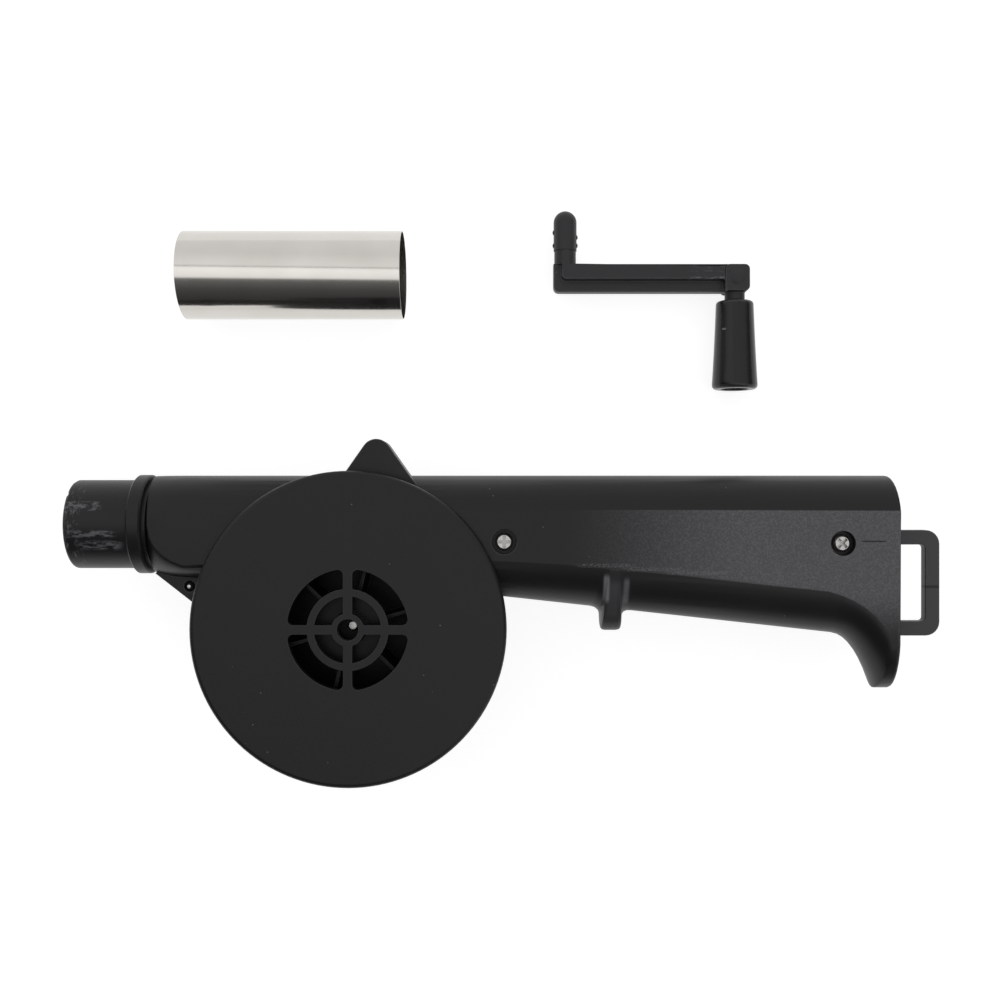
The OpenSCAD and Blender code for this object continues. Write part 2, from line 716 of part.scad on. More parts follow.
// Involute flanks: half angle of a tooth at radius r, for a gear with its pitch radius at p
function involute(a) = tan(a) * 180 / PI - a;
function half_tooth(r, p, teeth) = let(base = p * cos(pressure))
    90 / teeth - gear_play * 90 / (PI * p) / 2 + involute(pressure)
        - involute(acos(min(1, base / max(r, base))));
module gear(teeth, turn) {
    p = gear_module * teeth / 2;
    root = p - dedendum * gear_module;
    tip = p + addendum * gear_module;
    flank = teeth > 2 * pinion_teeth ?
        [root, p - 0.4 * gear_module, p, tip] :
        [root, p * cos(pressure) + 0.15, p, p + addendum / 2 * gear_module, tip];
    n = len(flank);
    linear_extrude(gear_w) polygon([for (t = [0:teeth - 1]) for (i = [0:2 * n - 1])
        let(r = flank[i < n ? i : 2 * n - 1 - i],
            a = turn + 360 * t / teeth + (i < n ? -1 : 1) * half_tooth(r, p, teeth))
        r * [cos(a), sin(a)]]);
}

module drive_gear() {
    color(gear_white) translate([drive_pos[0], drive_pos[1], 0]) difference() {
        union() {
            translate([0, 0, gear_z1]) gear(drive_teeth, to_idler);
            translate([0, 0, hub_low]) cylinder(r = hub_r, h = plate_z - end_play - hub_low);
            translate([0, 0, hub_low]) cylinder(r = upper_hub_r, h = hub_top - hub_low);
        }
        translate([0, 0, hub_low - cut]) cylinder(d = socket_d, h = socket_depth + cut);
        translate([-key_w / 2 - loose_fit, -key_r, hub_low - cut])
            cube([key_w + 2 * loose_fit, 2 * key_r, key_len + end_play + cut]);
    }
}

module idler_gear() {
    to_fan = idler_angle + 180;
    color(gear_white) translate([idler_pos[0], idler_pos[1], 0]) difference() {
        union() {
            translate([0, 0, gear_z1]) gear(pinion_teeth, to_idler + 180 + 180 / pinion_teeth);
            translate([0, 0, gear_z1 + gear_w])
                cylinder(r = axle_r + boss_wall, h = gear_gap);
            translate([0, 0, gear_z2]) gear(idler_teeth, to_fan);
            translate([0, 0, gear_z2]) cylinder(r = axle_r + boss_wall, h = plate_z - end_play - gear_z2);
        }
        translate([0, 0, gear_z1 - cut]) cylinder(r = axle_r + run_fit, h = plate_z);
    }
}

module fan_pinion() {
    color(gear_white) translate([0, 0, gear_z2]) difference() {
        gear(pinion_teeth, idler_angle + 180 / pinion_teeth);
        translate([0, 0, -cut]) cylinder(d = fan_shaft_d + 2 * press_fit, h = gear_w + 2 * cut);
    }
}

module fan_shaft() {
    low = gear_z2 - 0.2;
    r = fan_shaft_d / 2;
    color(steel) rotate_extrude()
        polygon([[0, low], [r, low], [r, shaft_tip - 0.4], [r - 0.4, shaft_tip], [0, shaft_tip]]);
}

module fan_impeller() {
    disc_t = 1.4;
    color(body_black) translate([0, 0, fan_z]) difference() {
        union() {
            cylinder(r = fan_r, h = disc_t);
            cylinder(r = fan_hub_r, h = fan_hub_h);
            for (b = [0:blade_count - 1]) rotate(blade_turn + 360 * b / blade_count)
                translate([0, -blade_t / 2, 0]) cube([fan_r - 0.5, blade_t, blade_top - fan_z]);
            translate([0, 0, blade_top - fan_z + 0.3 - disc_t]) cylinder(r = fan_plate_r, h = disc_t);
        }
        translate([0, 0, -cut]) cylinder(d = fan_shaft_d + 2 * press_fit, h = fan_hub_h + cut);
        translate([0, 0, fan_hub_h]) cylinder(r = fan_hub_r + 0.6, h = blade_top);
    }
}

// Crank moulding: shaft, raised bar on a flange, end block and the pin for the grip
module crank_arm() {
    sr = crank_shaft_d / 2;
    shoulder = 0.1;
    key_relief = 0.2;
    key_end = key_len + 0.2;
    left = -sr - shoulder;
    bar_low = arm_h / 2 - 0.75;
    bar_high = arm_h - 0.75;
    block_w = 7.2;
    block_h = arm_h - 0.5;
    block_half = bar_half + 0.3;
    bulge_r = 2.5;
    bulge_h = 0.6;
    bulge_ball = (bulge_r ^ 2 + bulge_h ^ 2) / (2 * bulge_h);
    color(body_black) translate([crank_x, arm_y, crank_z]) difference() {
        union() {
            translate([0, arm_h + key_end, 0]) rotate([-90, 0, 0])
                cylinder(r = sr, h = crank_shaft_len - sr - key_end);
            translate([0, arm_h - key_relief, 0]) rotate([-90, 0, 0])
                cylinder(r = sr - key_relief, h = key_relief + key_end + cut);
            translate([0, arm_h + crank_shaft_len - sr, 0]) sphere(r = sr);
            translate([0, 0, -flange_half]) linear_extrude(2 * flange_half) polygon(concat(
                arc([left + 1.6, 1.6], 1.6, 180, 270, 6),
                [[crank_throw, 0], [crank_throw, arm_h], [left, arm_h]]));
            translate([0, 0, -bar_half]) linear_extrude(2 * bar_half) polygon(concat(
                arc([-key_w / 2 + 1.2, bar_low + 1.2], 1.2, 180, 270, 5),
                [[crank_throw, bar_low], [crank_throw, bar_high], [key_w / 2, bar_high]],
                arc([0, arm_h + key_len - key_w / 2], key_w / 2, 0, 180, 8)));
            translate([crank_throw - block_w / 2, 0, -block_half]) linear_extrude(2 * block_half)
                polygon(concat(
                    arc([1.4, 1.4], 1.4, 180, 270, 5), arc([block_w - 1.4, 1.4], 1.4, -90, 0, 5),
                    arc([block_w - 1.4, block_h - 1.4], 1.4, 0, 90, 5),
                    arc([1.4, block_h - 1.4], 1.4, 90, 180, 5)));
            for (side = [0, 1]) mirror([0, 0, side]) translate([crank_throw, block_h / 2, block_half])
                intersection() {
                    translate([0, 0, bulge_h - bulge_ball]) sphere(r = bulge_ball);
                    translate([0, 0, -cut]) cylinder(r = bulge_r, h = 2 * cut);
                }
            translate([crank_throw, 0.5, 0]) rotate([90, 0, 0])
                cylinder(d = neck_pin_d, h = arm_y - grip_top_y - end_play + 0.5);
            translate([crank_throw, 0.5, 0]) rotate([90, 0, 0])
                cylinder(d = pin_d, h = arm_y - pin_end_y + 0.5);
        }
        translate([crank_throw, pin_end_y - arm_y - cut, 0]) rotate([-90, 0, 0])
            cylinder(r = pin_screw_r + press_fit, h = pin_screw_len + 0.5 + cut);
    }
}

module crank_grip() {
    small = grip_small_d / 2;
    large = grip_large_d / 2;
    color(body_black) translate([pin_x, grip_end_y, crank_z]) rotate([-90, 0, 0]) difference() {
        rotate_extrude() polygon(concat(
            [[0, 0], [large - 0.7, 0], [large, 0.7]],
            bez([large, 1.6], [small + 0.5, grip_len * 0.45], [small, grip_len - 0.5], 6),
            [[small, grip_len - 0.5], [small - 0.5, grip_len], [0, grip_len]]));
        translate([0, 0, -cut]) cylinder(d = pin_d + 2 * run_fit, h = grip_len + 2 * cut);
        translate([0, 0, -cut]) cylinder(d = grip_hole_d, h = grip_hole_h + cut);
    }
}

module grip_screw() {
    r = grip_hole_d / 2 - 0.4;
    color(steel) translate([pin_x, pin_end_y, crank_z]) rotate([90, 0, 0]) difference() {
        union() {
            rotate_extrude() polygon([[0, 0], [r, 0], [r, grip_head_h - 0.8],
                [r - 0.8, grip_head_h], [0, grip_head_h]]);
            translate([0, 0, -pin_screw_len]) cylinder(r = pin_screw_r, h = pin_screw_len);
        }
        translate([0, 0, grip_head_h]) cross_recess();
    }
}

module steel_tube() {
    color(steel) translate([tube_x, tube_y, tube_d / 2]) rotate([0, 90, 0]) difference() {
        cylinder(d = tube_d, h = tube_len);
        translate([0, 0, -cut]) cylinder(d = tube_d - 2 * tube_wall, h = tube_len + 2 * cut);
    }
}

front_shell();
back_shell();
inlet_cover();
outlet_nozzle();
hanging_loop();
handle_screws();
case_screws();
gear_plate();
plate_screws();
idler_axle();
fan_bush();
drive_gear();
idler_gear();
fan_shaft();
fan_pinion();
fan_impeller();
crank_arm();
crank_grip();
grip_screw();
steel_tube();
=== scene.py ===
import math

import bmesh
import bpy
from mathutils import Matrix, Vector


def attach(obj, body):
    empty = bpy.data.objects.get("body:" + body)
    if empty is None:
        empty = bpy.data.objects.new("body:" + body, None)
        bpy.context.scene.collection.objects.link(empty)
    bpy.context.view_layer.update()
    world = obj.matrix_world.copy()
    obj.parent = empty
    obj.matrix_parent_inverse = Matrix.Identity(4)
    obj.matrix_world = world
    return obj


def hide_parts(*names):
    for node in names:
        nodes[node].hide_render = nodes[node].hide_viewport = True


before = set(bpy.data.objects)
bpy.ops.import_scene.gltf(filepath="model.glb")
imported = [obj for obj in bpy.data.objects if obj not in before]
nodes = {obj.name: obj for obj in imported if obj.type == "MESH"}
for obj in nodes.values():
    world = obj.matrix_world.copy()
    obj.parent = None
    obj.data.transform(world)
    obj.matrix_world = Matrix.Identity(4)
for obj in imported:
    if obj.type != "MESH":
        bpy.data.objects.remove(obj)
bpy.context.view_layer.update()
mm = 0.001
print("frame loaded:", len(nodes), "nodes")


def toLinear(hexText):
    channels = [int(hexText[i:i + 2], 16) / 255 for i in (1, 3, 5)]
    linear = [c / 12.92 if c <= 0.04045 else ((c + 0.055) / 1.055) ** 2.4 for c in channels]
    return linear + [1.0]


def addNode(tree, kind, settings=None, links=None):
    made = tree.nodes.new(kind)
    for key, value in (settings or {}).items():
        if isinstance(key, int) or key in made.inputs:
            made.inputs[key].default_value = value
        else:
            setattr(made, key, value)
    for socket, source in (links or {}).items():
        tree.links.new(source, made.inputs[socket])
    return made


def newMaterial(name):
    material = bpy.data.materials.new(name)
    material.use_nodes = True
    tree = material.node_tree
    tree.nodes.clear()
    return material, tree


# camera straight above, with the object's Y up the picture
studio = {"camera": (0.0400, 0.0341, 0.3365), "lens": 40.68, "sensorMm": 36, "clipStart": 0.01,
          "tableHalf": 4.0, "tableZ": -0.0002, "tableColour": "#8f8f8f", "tableGlow": 0.86,
          "tableRough": 0.9, "tableSpecular": 0.1}
camera = bpy.data.objects.new("photoCamera", bpy.data.cameras.new("photoCamera"))
camera.data.sensor_width = studio["sensorMm"]
camera.data.lens = studio["lens"]
camera.data.clip_start = studio["clipStart"]
camera.location = studio["camera"]
bpy.context.scene.collection.objects.link(camera)
bpy.context.scene.camera = camera
bpy.context.scene.view_settings.view_transform = "Standard"

# opal acrylic lit from below: an even white that takes hardly any shadow
tableMaterial, tree = newMaterial("acrylicOpalBacklit")
opal = addNode(tree, "ShaderNodeBsdfPrincipled", {
    "Base Color": toLinear(studio["tableColour"]), "Roughness": studio["tableRough"],
    "Specular IOR Level": studio["tableSpecular"], "Emission Color": (1, 1, 1, 1),
    "Emission Strength": studio["tableGlow"]})
addNode(tree, "ShaderNodeOutputMaterial", links={"Surface": opal.outputs[0]})
bm = bmesh.new()
bmesh.ops.create_grid(bm, x_segments=1, y_segments=1, size=studio["tableHalf"])
tableMesh = bpy.data.meshes.new("table")
bm.to_mesh(tableMesh)
bm.free()
table = bpy.data.objects.new("table", tableMesh)
table.data.materials.append(tableMaterial)
table.location = (0, 0, studio["tableZ"])
bpy.context.scene.collection.objects.link(table)

# a wide soft box overhead, a pale wall beyond +Y with a dark gap between the two, and a dark
# room elsewhere; lean is the tilt to +Y plus a share of the tilt to +X, in degrees
sky = {"leanShare": 0.6, "rightEdgeDeg": (50, 68), "rightDark": 0.12, "backdrop": 0.93,
       "leanStops": [(-90, 0.10), (-75, 0.05), (-53, 0.08), (-33, 0.15), (-27, 0.2), (-24, 1.15),
                     (-4, 1.3), (2, 1.3), (3, 0.35), (4.5, 0.35), (5.5, 1.05), (40, 0.88),
                     (90, 0.95)]}
world = bpy.data.worlds.new("studioSky")
bpy.context.scene.world = world
world.use_nodes = True
tree = world.node_tree
tree.nodes.clear()
direction = addNode(tree, "ShaderNodeTexCoord")
parts = addNode(tree, "ShaderNodeSeparateXYZ", links={0: direction.outputs["Generated"]})
tiltX = addNode(tree, "ShaderNodeMath", {"operation": "ARCSINE"}, {0: parts.outputs["X"]})
tiltY = addNode(tree, "ShaderNodeMath", {"operation": "ARCSINE"}, {0: parts.outputs["Y"]})
lean = addNode(tree, "ShaderNodeMath", {"operation": "MULTIPLY_ADD", 1: sky["leanShare"]},
               {0: tiltX.outputs[0], 2: tiltY.outputs[0]})
share = addNode(tree, "ShaderNodeMapRange",
                {"From Min": -math.pi / 2, "From Max": math.pi / 2}, {0: lean.outputs[0]})
ramp = addNode(tree, "ShaderNodeValToRGB", links={0: share.outputs[0]})
stops = ramp.color_ramp.elements
while len(stops) < len(sky["leanStops"]):
    stops.new(0.5)
for stop, (deg, light) in zip(stops, sky["leanStops"]):
    stop.position = (deg + 90) / 180
    stop.color = (light, light, light, 1)
rightEdge = addNode(tree, "ShaderNodeMapRange", {
    "From Min": math.radians(sky["rightEdgeDeg"][0]),
    "From Max": math.radians(sky["rightEdgeDeg"][1]),
    "To Min": 1.0, "To Max": sky["rightDark"]}, {0: tiltX.outputs[0]})
boxes = addNode(tree, "ShaderNodeBackground",
                links={"Color": ramp.outputs["Color"], "Strength": rightEdge.outputs[0]})
plain = addNode(tree, "ShaderNodeBackground",
                {"Color": [sky["backdrop"]] * 3 + [1], "Strength": 1.0})
path = addNode(tree, "ShaderNodeLightPath")
mixed = addNode(tree, "ShaderNodeMixShader", links={
    0: path.outputs["Is Camera Ray"], 1: boxes.outputs[0], 2: plain.outputs[0]})
addNode(tree, "ShaderNodeOutputWorld", links={"Surface": mixed.outputs[0]})
print("studio ready")

# noise for streaks and drawn lines, whose sizes come from a Mapping node
lineNoise = {"Scale": 1.0, "Detail": 3.0, "Roughness": 0.65}
streakFade = 0.13


def markMask(tree, place, mark):
    # 1 inside a box given in mm, fading to 0 over softMm past its sides, broken into streaks if
    # the mark has them
    low, high = Vector(mark["low"]) * mm, Vector(mark["high"]) * mm
    away = addNode(tree, "ShaderNodeVectorMath",
                   {"operation": "SUBTRACT", 1: (low + high) / 2}, {0: place})
    side = addNode(tree, "ShaderNodeVectorMath", {"operation": "ABSOLUTE"}, {0: away.outputs[0]})
    past = addNode(tree, "ShaderNodeVectorMath",
                   {"operation": "SUBTRACT", 1: (high - low) / 2}, {0: side.outputs[0]})
    soft = addNode(tree, "ShaderNodeVectorMath",
                   {"operation": "DIVIDE", 1: Vector(mark["softMm"]) * mm}, {0: past.outputs[0]})
    outside = addNode(tree, "ShaderNodeVectorMath",
                      {"operation": "MAXIMUM", 1: (0, 0, 0)}, {0: soft.outputs[0]})
    reach = addNode(tree, "ShaderNodeVectorMath", {"operation": "LENGTH"},
                    {0: outside.outputs[0]})
    mask = addNode(tree, "ShaderNodeMapRange", {
        "interpolation_type": "SMOOTHSTEP", "To Min": mark["share"], "To Max": 0.0},
        {0: reach.outputs["Value"]})
    if "streakMm" not in mark:
        return mask.outputs[0]
    stretched = addNode(tree, "ShaderNodeMapping",
                        {"Scale": [1000 / size for size in mark["streakMm"]]}, {0: place})
    noise = addNode(tree, "ShaderNodeTexNoise", lineNoise, {"Vector": stretched.outputs[0]})
    lines = addNode(tree, "ShaderNodeMapRange", {
        "From Min": mark["streakCut"], "From Max": mark["streakCut"] + streakFade},
        {0: noise.outputs["Fac"]})
    broken = addNode(tree, "ShaderNodeMath", {"operation": "MULTIPLY"},
                     {0: mask.outputs[0], 1: lines.outputs[0]})
    return broken.outputs[0]


def mouldedPlastic(name, look, marks=()):
    # injection moulded plastic: one even colour with a fine spark grain, faint flow patches,
    # specks of dust, rounded edges painted paler for rub wear and as a painted edge highlight,
    # and the marks of one piece
    material, tree = newMaterial(name)
    place = addNode(tree, "ShaderNodeTexCoord").outputs["Object"]
    grain = addNode(tree, "ShaderNodeTexNoise", {
        "Scale": 1000 / look["grainMm"], "Detail": 2.0, "Roughness": 0.6}, {"Vector": place})
    patches = addNode(tree, "ShaderNodeTexNoise",
                      {"Scale": 1000 / look["patchMm"], "Detail": 3.0}, {"Vector": place})
    dust = addNode(tree, "ShaderNodeTexVoronoi",
                   {"Scale": 1000 / look["dustMm"], "Randomness": 1.0}, {"Vector": place})
    specks = addNode(tree, "ShaderNodeMapRange", {
        "From Max": look["dustSize"], "To Min": look["dustShow"], "To Max": 0.0},
        {0: dust.outputs["Distance"]})
    # rounded edges are painted paler here: partly rub wear, partly a painted highlight
    edge = addNode(tree, "ShaderNodeAttribute", {"attribute_name": "edgeWearAndHighlight"})
    rubbedAndHighlit = addNode(tree, "ShaderNodeMath", {"operation": "MULTIPLY", 1: look["edgeShow"]},
                     {0: edge.outputs["Fac"]})
    rubbedAndHighlitUneven = addNode(tree, "ShaderNodeMath", {"operation": "MULTIPLY"},
                           {0: rubbedAndHighlit.outputs[0], 1: grain.outputs["Fac"]})
    colour = addNode(tree, "ShaderNodeMix", {
        "data_type": "RGBA", 6: toLinear(look["dark"]), 7: toLinear(look["light"])},
        {0: patches.outputs["Fac"]}).outputs[2]
    colour = addNode(tree, "ShaderNodeMix", {"data_type": "RGBA", 7: toLinear(look["dust"])},
                     {0: specks.outputs[0], 6: colour}).outputs[2]
    colour = addNode(tree, "ShaderNodeMix", {"data_type": "RGBA", 7: toLinear(look["wornAndHighlight"])},
                     {0: rubbedAndHighlitUneven.outputs[0], 6: colour}).outputs[2]
    rough = addNode(tree, "ShaderNodeMapRange", {
        "To Min": look["rough"] - look["roughSpread"],
        "To Max": look["rough"] + look["roughSpread"]}, {0: patches.outputs["Fac"]}).outputs[0]
    bump = addNode(tree, "ShaderNodeBump", {
        "Strength": look["grain"], "Distance": look["grainDepthMm"] * mm},
        {"Height": grain.outputs["Fac"]})
    for mark in marks:
        mask = markMask(tree, place, mark)
        colour = addNode(tree, "ShaderNodeMix",
                         {"data_type": "RGBA", 7: toLinear(mark["colour"])},
                         {0: mask, 6: colour}).outputs[2]
        rough = addNode(tree, "ShaderNodeMath",
                        {"operation": "MULTIPLY_ADD", 1: mark["rougher"]},
                        {0: mask, 2: rough}).outputs[0]
    shader = addNode(tree, "ShaderNodeBsdfPrincipled", {
        "IOR": look["ior"], "Specular IOR Level": look["specular"]},
        {"Base Color": colour, "Roughness": rough, "Normal": bump.outputs[0]})
    addNode(tree, "ShaderNodeOutputMaterial", links={"Surface": shader.outputs[0]})
    return material


metalRoughShare = (0.7, 1.4)  # of a look's roughness, from the bright lines to the dull ones


def finishedMetal(name, look):
    # plated, polished or sintered metal: slightly patchy, with fine drawn or rubbed lines
    material, tree = newMaterial(name)
    place = addNode(tree, "ShaderNodeTexCoord").outputs["Object"]
    stretched = addNode(tree, "ShaderNodeMapping",
                        {"Scale": [1000 / size for size in look["lineMm"]]}, {0: place})
    lines = addNode(tree, "ShaderNodeTexNoise", lineNoise, {"Vector": stretched.outputs[0]})
    patches = addNode(tree, "ShaderNodeTexNoise",
                      {"Scale": 1000 / look["patchMm"], "Detail": 2.0}, {"Vector": place})
    clean = addNode(tree, "ShaderNodeMix", {
        "data_type": "RGBA", 6: toLinear(look["dark"]), 7: toLinear(look["light"])},
        {0: patches.outputs["Fac"]})
    # faces marked in this attribute get a darker colour: painted shade in recesses
    recessShade = addNode(tree, "ShaderNodeAttribute", {"attribute_name": "recessShade"})
    colour = addNode(tree, "ShaderNodeMix", {"data_type": "RGBA", 7: toLinear(look["recessShade"])},
                     {0: recessShade.outputs["Fac"], 6: clean.outputs[2]})
    rough = addNode(tree, "ShaderNodeMapRange", {
        "To Min": look["rough"] * metalRoughShare[0],
        "To Max": look["rough"] * metalRoughShare[1]}, {0: lines.outputs["Fac"]})
    bump = addNode(tree, "ShaderNodeBump", {
        "Strength": look["bump"], "Distance": look["depthMm"] * mm},
        {"Height": lines.outputs["Fac"]})
    shader = addNode(tree, "ShaderNodeBsdfPrincipled", {"Metallic": 1.0}, {
        "Base Color": colour.outputs[2], "Roughness": rough.outputs[0],
        "Normal": bump.outputs[0]})
    addNode(tree, "ShaderNodeOutputMaterial", links={"Surface": shader.outputs[0]})
    return material


# how a CAD copy is joined, rounded and shaded
meshing = {"weldMm": 0.002, "flatDeg": 0.4, "cutMm": 0.0005, "roundOverDeg": 30,
           "roundSegments": 2, "sharpDeg": 32, "evenWeight": 60}


def mergedCopy(node):
    bm = bmesh.new()
    bm.from_mesh(nodes[node].data)
    bm.faces.layers.float.new("edgeWearAndHighlight")
    bmesh.ops.remove_doubles(bm, verts=bm.verts, dist=meshing["weldMm"] * mm)
    bmesh.ops.dissolve_limit(bm, angle_limit=math.radians(meshing["flatDeg"]), verts=bm.verts,
                             edges=bm.edges)
    return bm


def roundEdges(bm, widthMm, where=None, clamp=True):
    # every edge over the angle, or those whose middle, in mm, the test picks
    chosen = [e for e in bm.edges if len(e.link_faces) == 2
              and e.calc_face_angle() > math.radians(meshing["roundOverDeg"])
              and (where is None or where((e.verts[0].co + e.verts[1].co) / 2 / mm))]
    made = bmesh.ops.bevel(bm, geom=chosen, offset=widthMm * mm, offset_type="OFFSET",
                           affect="EDGES", segments=meshing["roundSegments"], profile=0.5,
                           material=-1, clamp_overlap=clamp)
    # the new rounded faces are painted paler later, for rub wear and as a painted edge highlight
    wornAndHighlight = bm.faces.layers.float["edgeWearAndHighlight"]
    for face in made["faces"]:
        face[wornAndHighlight] = 1.0


def finishPiece(bm, name, material, body, replaced, crease=None):
    mesh = bpy.data.meshes.new(name)
    bm.to_mesh(mesh)
    bm.free()
    if "custom_normal" in mesh.attributes:  # the CAD mesh's own normals would hide the new edges
        mesh.attributes.remove(mesh.attributes["custom_normal"])
    mesh.shade_smooth()
    mesh.set_sharp_from_angle(angle=math.radians(meshing["sharpDeg"]))
    if crease:
        for edge in mesh.edges:
            a, b = (mesh.vertices[i].co / mm for i in edge.vertices)
            if crease(a, b):
                edge.use_edge_sharp = True
    piece = bpy.data.objects.new(name, mesh)
    bpy.context.scene.collection.objects.link(piece)
    mesh.materials.append(material)
    weighted = piece.modifiers.new("evenShading", "WEIGHTED_NORMAL")
    weighted.keep_sharp = True
    weighted.weight = meshing["evenWeight"]
    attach(piece, body)
    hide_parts(replaced)
    print("piece:", name)


def roundedPiece(node, name, edgeMm, material, body, clamp=True):
    bm = mergedCopy(node)
    roundEdges(bm, edgeMm, clamp=clamp)
    finishPiece(bm, name, material, body, node)


# polypropylene with a satin spark-eroded mould finish, shared by the body and the fan; the grain
# is drawn coarser than the real one, so that it shows
satin = {"dark": "#121113", "light": "#171618", "rough": 0.40, "roughSpread": 0.05, "ior": 1.49,
         "specular": 0.28, "grain": 0.5, "grainMm": 0.45, "grainDepthMm": 0.05, "patchMm": 22,
         "dustMm": 5.0, "dustSize": 0.05, "dustShow": 0.5, "dust": "#8d8b88", "wornAndHighlight": "#5a595b",
         "edgeShow": 0.4}
satinBlack = mouldedPlastic("polypropyleneBlackSatin", satin)
# zinc plate: dull silver with small patches
zincPlated = finishedMetal("steelZincPlated", {
    "dark": "#a3a2a0", "light": "#c8c7c5", "rough": 0.3, "lineMm": (0.8, 0.8, 0.8),
    "patchMm": 1.5, "bump": 0.25, "depthMm": 0.05, "recessShade": "#2b2a29"})

# the body's two halves; the front one's side panel is painted greyer and grainier towards the
# tail as a painted sheen, with a short dark flow line by the rear screw and painted highlights
# on the finger stop
shell = {"midZ": 26.0, "flatZ": 37.5, "nearMm": 0.05, "edgeMm": 0.3,
         "endX": 146.2, "endEdgeMm": 0.6, "endCut": 1.5, "topRoundY": 30.4,
         "slotY": (-4, 27), "slotZ": 3,
         "creaseY": 28, "upperCrease": 74, "lowerCrease": (36, 112),
         "earY": 36, "earZ": 8, "gussetX": -40, "gussetY": 15, "gussetZ": 4, "counterboreX": 35}
panelMarks = [
    # painted sheen: the panel lighter towards the tail, the second mark bringing out the grain
    # in it
    {"low": (112, 11, 37.44), "high": (150, 32, 37.6), "softMm": (58, 15, 0.1),
     "colour": "#525154", "share": 0.8, "rougher": 0.08},
    {"low": (112, 11, 37.44), "high": (150, 32, 37.6), "softMm": (58, 15, 0.1),
     "colour": "#6a686b", "share": 0.45, "rougher": 0.1, "streakMm": (0.45, 0.45, 0.45),
     "streakCut": 0.47},
    # painted highlights on the finger stop: a paler ridge and thin pale lines at its left and
    # right
    {"low": (69.2, 4, 27), "high": (70.8, 11, 36), "softMm": (2.2, 3, 3), "colour": "#444345",
     "share": 0.6, "rougher": 0.05},
    {"low": (68.0, 8, 26), "high": (68.6, 13, 37), "softMm": (0.8, 2, 2), "colour": "#77767a",
     "share": 0.7, "rougher": 0.1},
    {"low": (73.4, 7.5, 26), "high": (73.9, 12, 37), "softMm": (0.9, 2, 2), "colour": "#66656a",
     "share": 0.6, "rougher": 0.1},
    {"low": (136.4, 23.1, 37.4), "high": (141.6, 23.2, 37.6), "softMm": (1.2, 0.25, 0.1),
     "colour": "#0c0c0d", "share": 0.9, "rougher": 0.15}]
# painted highlight along the panel's lower edge, which falls towards the tail, broken into
# streaks
creaseHighlight = {"softMm": (4, 0.5, 0.2), "colour": "#77767a", "share": 0.35, "rougher": 0.1,
           "streakMm": (0.6, 0.35, 0.35), "streakCut": 0.46}
panelMarks += [dict(creaseHighlight, low=(x, y, 37.2), high=(x + 11, y + 0.5, 37.6))
               for x, y in ((63, 16.5), (75, 15.5), (87, 14.5))]
panelPlastic = mouldedPlastic("polypropyleneBlackSatinPanel", satin, panelMarks)


def panelCrease(a, b):
    if min(a.z, b.z) < shell["flatZ"] - shell["nearMm"]:
        return False
    x, y = (a.x + b.x) / 2, (a.y + b.y) / 2
    if y > shell["creaseY"]:
        return x > shell["upperCrease"]
    return shell["lowerCrease"][0] < x < shell["lowerCrease"][1]


def offMiddle(p, height):
    return abs(abs(p.z - shell["midZ"]) - height) < shell["nearMm"]


def endEdge(p):
    atEnd = p.x > shell["endX"] - shell["nearMm"] and not offMiddle(p, 0)
    slotEdge = (shell["slotY"][0] < p.y < shell["slotY"][1]
                and abs(p.z - shell["midZ"]) < shell["slotZ"])
    return atEnd and not slotEdge and p.y < shell["topRoundY"]  # higher up it is round already


def earEdge(p):
    return p.y > shell["earY"] and offMiddle(p, shell["earZ"])


def gussetEdge(p):
    low = p.x < shell["gussetX"] and p.y < shell["gussetY"]
    return low and offMiddle(p, shell["gussetZ"])


def counterboreEdge(p):
    return abs(p.z - shell["flatZ"]) < shell["nearMm"] and p.x > shell["counterboreX"]


for node, name, material, crease in (("front_shell", "frontShell", panelPlastic, panelCrease),
                                     ("back_shell", "backShell", satinBlack, None)):
    bm = mergedCopy(node)
    # a cut just inside the end keeps its rounding off the long faces
    cutX = shell["endX"] - shell["endCut"] * shell["endEdgeMm"]
    bmesh.ops.bisect_plane(bm, geom=bm.verts[:] + bm.edges[:] + bm.faces[:],
                           dist=meshing["cutMm"] * mm, plane_co=(cutX * mm, 0, 0),
                           plane_no=(1, 0, 0))
    roundEdges(bm, shell["endEdgeMm"], endEdge, clamp=False)
    for where in (earEdge, gussetEdge, counterboreEdge):
        roundEdges(bm, shell["edgeMm"], where, clamp=False)
    finishPiece(bm, name, material, "housing", node, crease)

# inlet cover: only the openings of its grille need softer edges, the rim is round already
cover = {"topZ": 40.2, "nearMm": 0.05, "grilleR": 17, "edgeMm": 0.3}
bm = mergedCopy("inlet_cover")
roundEdges(bm, cover["edgeMm"], lambda p: p.z > cover["topZ"] - cover["nearMm"]
           and p.xy.length < cover["grilleR"])
finishPiece(bm, "inletCover", satinBlack, "housing", "inlet_cover")

